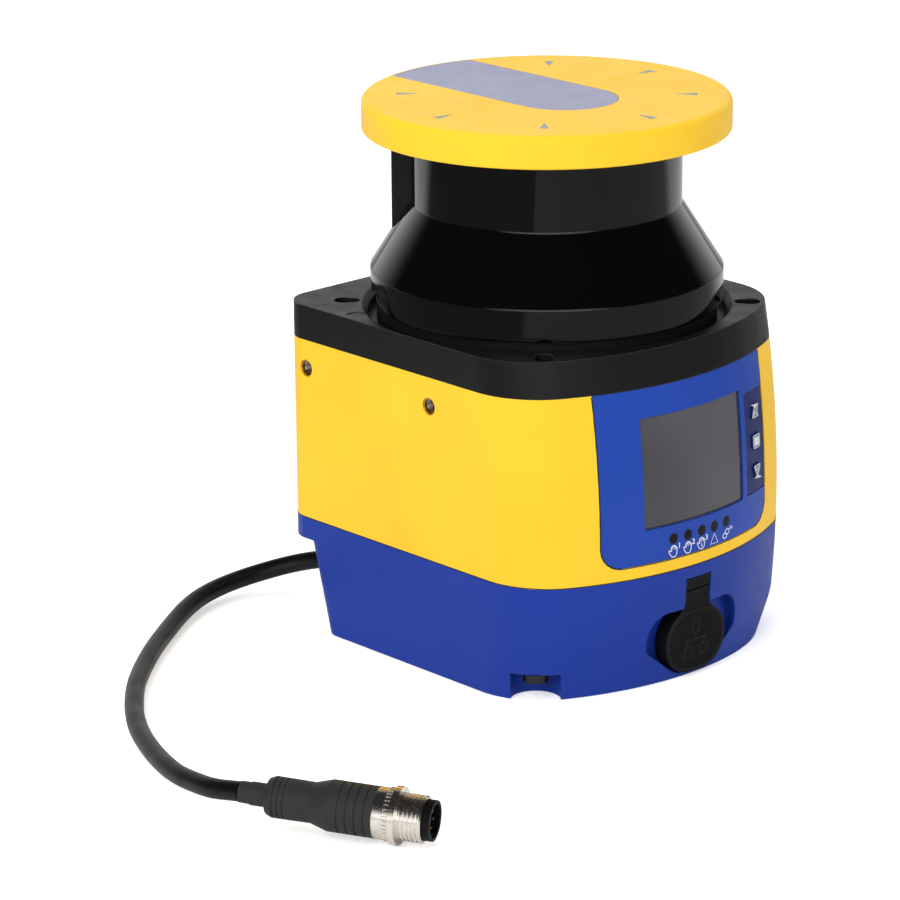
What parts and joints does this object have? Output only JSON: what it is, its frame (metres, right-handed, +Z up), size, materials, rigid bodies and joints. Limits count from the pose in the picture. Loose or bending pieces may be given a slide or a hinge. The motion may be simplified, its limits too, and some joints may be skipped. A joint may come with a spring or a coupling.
{
  "type": "safety laser scanner",
  "caption": "Compact safety laser scanner with a dark dome window, display, keys, dust cap and a short cable with a round screw connector.",
  "frame": {"origin": "middle of the body's outline on its resting face", "axes": "+Z up along the scan axis, the display faces -Y, +X to the right of someone facing the display's back"},
  "size_m": [0.2118, 0.1781, 0.1521],
  "materials": {
    "yellow_plastic": "satin",
    "blue_plastic": "satin",
    "blue_strip": "satin",
    "key_rubber": "satin",
    "black_plastic": "satin",
    "dark_window": "polished",
    "clear_cover": "polished",
    "display_grey": "satin",
    "label_film": "satin",
    "light_lens": "polished",
    "black_rubber": "matte",
    "cable_jacket": "matte",
    "steel": "satin",
    "dark_steel": "satin",
    "nickel": "polished",
    "brass": "satin",
    "aluminium": "satin",
    "board_green": "satin",
    "lens_glass": "polished",
    "mirror_coat": "polished"
  },
  "bodies": {
    "body": {"base_block": "blue_plastic", "main_housing": "yellow_plastic", "top_collar": "black_plastic", "scan_window": "dark_window", "rear_post": "black_plastic", "top_cap": "yellow_plastic", "cap_label_strip": "label_film", "front_panel": "blue_plastic", "display_cover": "clear_cover", "button_strip": "blue_strip", "status_lights": "light_lens", "side_inserts": "brass", "base_screws": "dark_steel", "collar_screws": "dark_steel", "cap_screws": "steel", "window_seal": "black_rubber", "base_gasket": "black_rubber", "service_socket": "nickel", "service_insert": "black_plastic", "service_contacts": "brass", "display_module": "display_grey", "display_board": "board_green", "key_switches": "black_plastic", "main_board": "board_green", "io_board": "board_green", "board_spacers": "brass", "board_screws": "steel", "motor_stator": "aluminium", "spindle_bearings": "steel", "encoder_fork": "black_plastic", "lens_holder": "black_plastic", "receiver_lens": "lens_glass", "laser_module": "brass", "detector_board": "board_green", "cable_gland": "black_plastic", "cable": "cable_jacket", "cable_sleeve": "black_rubber", "connector_body": "black_rubber", "connector_insert": "black_plastic", "connector_pins": "brass"},
    "rotor": {"spindle_shaft": "steel", "rotor_bell": "aluminium", "encoder_disc": "steel", "mirror_carrier": "black_plastic", "scan_mirror": "mirror_coat"},
    "up_key": {"up_button": "key_rubber"},
    "select_key": {"select_button": "key_rubber"},
    "down_key": {"down_button": "key_rubber"},
    "cap_flap": {"dust_cap": "black_rubber"},
    "plug_ring": {"coupling_ring": "nickel"}
  },
  "joints": [
    {"name": "scan_spin", "type": "hinge", "parent": "body", "child": "rotor", "pos_m": [0, 0.00315, 0.1], "axis": [0, 0, 1], "continuous": true},
    {"name": "up_press", "type": "slide", "parent": "body", "child": "up_key", "axis": [0, 1, 0], "range_m": [0, 0.0005], "stiffness_N_per_m": 800},
    {"name": "select_press", "type": "slide", "parent": "body", "child": "select_key", "axis": [0, 1, 0], "range_m": [0, 0.0005], "stiffness_N_per_m": 800},
    {"name": "down_press", "type": "slide", "parent": "body", "child": "down_key", "axis": [0, 1, 0], "range_m": [0, 0.0005], "stiffness_N_per_m": 800},
    {"name": "dust_cap_swing", "type": "hinge", "parent": "body", "child": "cap_flap", "pos_m": [0, -0.05601, 0.0295], "axis": [-1, 0, 0], "range_deg": [0, 95]},
    {"name": "ring_spin", "type": "hinge", "parent": "body", "child": "plug_ring", "pos_m": [-0.13721, -0.08322, 0.00739], "axis": [0.4921, -0.8698, -0.0349], "continuous": true}
  ]
}
